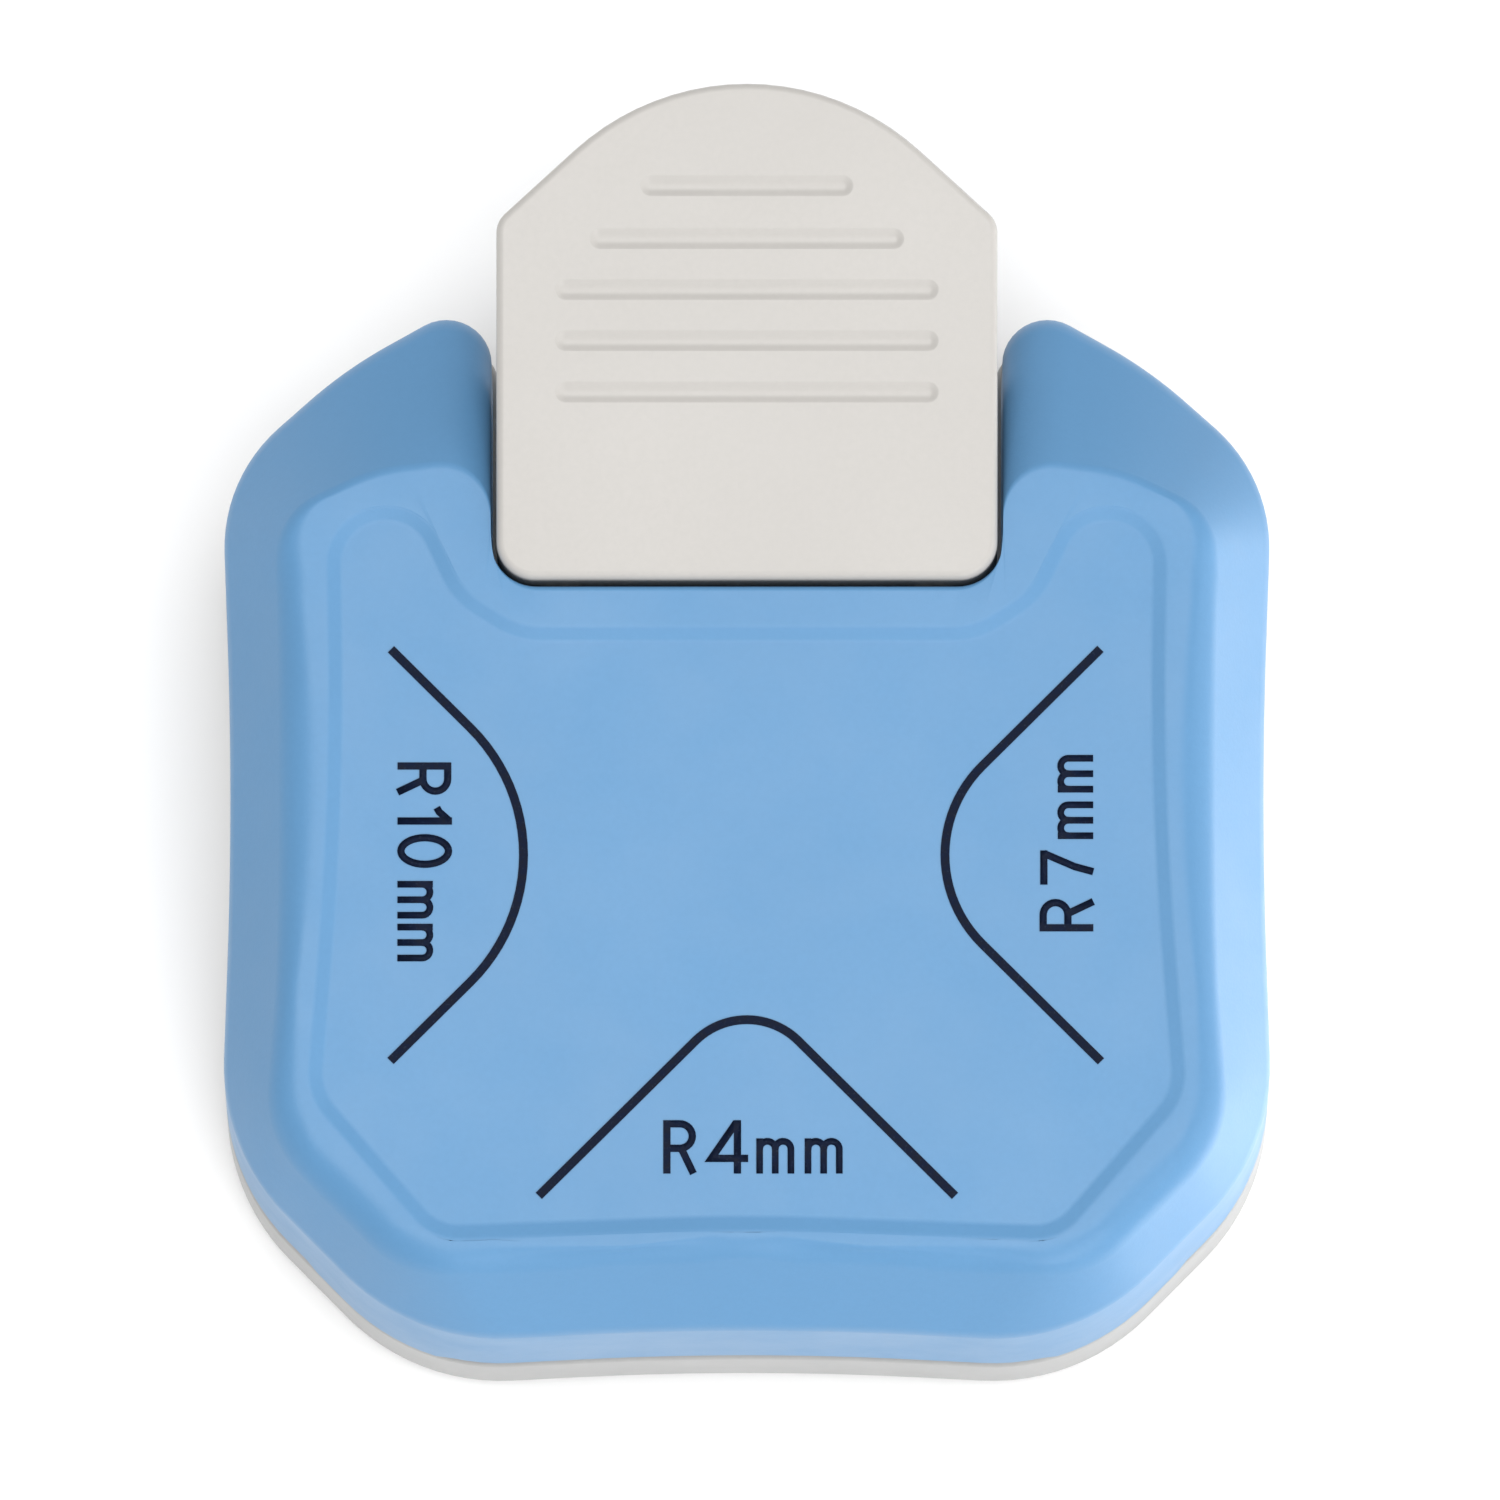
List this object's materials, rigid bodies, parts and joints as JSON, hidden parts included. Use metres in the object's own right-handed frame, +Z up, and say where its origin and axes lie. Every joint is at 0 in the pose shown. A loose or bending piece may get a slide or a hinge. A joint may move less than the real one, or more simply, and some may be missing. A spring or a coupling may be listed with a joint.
{
  "type": "corner rounder",
  "caption": "Palm-sized press that punches rounded corners: tapered square case with paper slots on three sides, sunken top panel, rear thumb lever and hinged chip lid.",
  "frame": {"origin": "centre of the bounding box at the height of the feet's bottom faces", "axes": "+X to the right, +Y towards the lever's tip, +Z up from the table"},
  "size_m": [0.0576, 0.0684, 0.0294],
  "materials": {
    "blue_shell": "satin moulded ABS, fine texture",
    "white_shell": "satin moulded ABS",
    "lever_plastic": "satin warm white moulded ABS",
    "plate_steel": "stamped steel sheet",
    "tool_steel": "ground hardened steel",
    "cast_zinc": "as-cast zinc",
    "pin_steel": "polished pin stock",
    "spring_steel": "bright drawn wire",
    "screw_steel": "zinc-plated",
    "foot_rubber": "matte grey rubber"
  },
  "bodies": {
    "case": {"top_cover": "blue_shell", "base_shell": "white_shell", "die_plate": "plate_steel", "paper_guide_plate": "plate_steel", "guide_plate": "plate_steel", "lever_pivot_pin": "pin_steel", "pivot_clip_left": "spring_steel", "pivot_clip_right": "spring_steel", "guide_post_front_left": "pin_steel", "guide_post_front_right": "pin_steel", "guide_post_rear": "pin_steel", "return_spring_front_left": "spring_steel", "return_spring_front_right": "spring_steel", "return_spring_rear": "spring_steel", "die_screw_front_left": "screw_steel", "die_screw_front_right": "screw_steel", "die_screw_rear_left": "screw_steel", "die_screw_rear_right": "screw_steel", "case_screw_front_left": "screw_steel", "case_screw_front_right": "screw_steel", "case_screw_rear_left": "screw_steel", "case_screw_rear_right": "screw_steel", "rubber_foot_front_left": "foot_rubber", "rubber_foot_front_right": "foot_rubber", "rubber_foot_rear_left": "foot_rubber", "rubber_foot_rear_right": "foot_rubber"},
    "lever": {"lever": "lever_plastic"},
    "ram": {"punch_carrier": "cast_zinc", "drive_pin": "pin_steel", "punch_r10": "tool_steel", "punch_r7": "tool_steel", "punch_r4": "tool_steel", "punch_screw_r10": "screw_steel", "punch_screw_r7": "screw_steel", "punch_screw_r4": "screw_steel"},
    "lid": {"bottom_lid": "white_shell"}
  },
  "joints": [
    {"name": "lever_press", "type": "hinge", "parent": "case", "child": "lever", "pos_m": [0, -0.02571, 0.017], "axis": [-1, 0, 0], "range_deg": [0, 10.3]},
    {"name": "ram_slide", "type": "slide", "parent": "case", "child": "ram", "axis": [0, 0, -1], "range_m": [0, 0.0031], "stiffness_N_per_m": 2400, "springref_m": -0.002, "deforming": ["return_spring_front_left", "return_spring_front_right", "return_spring_rear"]},
    {"name": "lid_hinge", "type": "hinge", "parent": "case", "child": "lid", "pos_m": [0, 0.01519, 0.0015], "axis": [1, 0, 0], "range_deg": [0, 90]}
  ],
  "couplings": [
    {"joint": "lever_press", "follows": "ram_slide", "rad_per_m": 57.98}
  ]
}
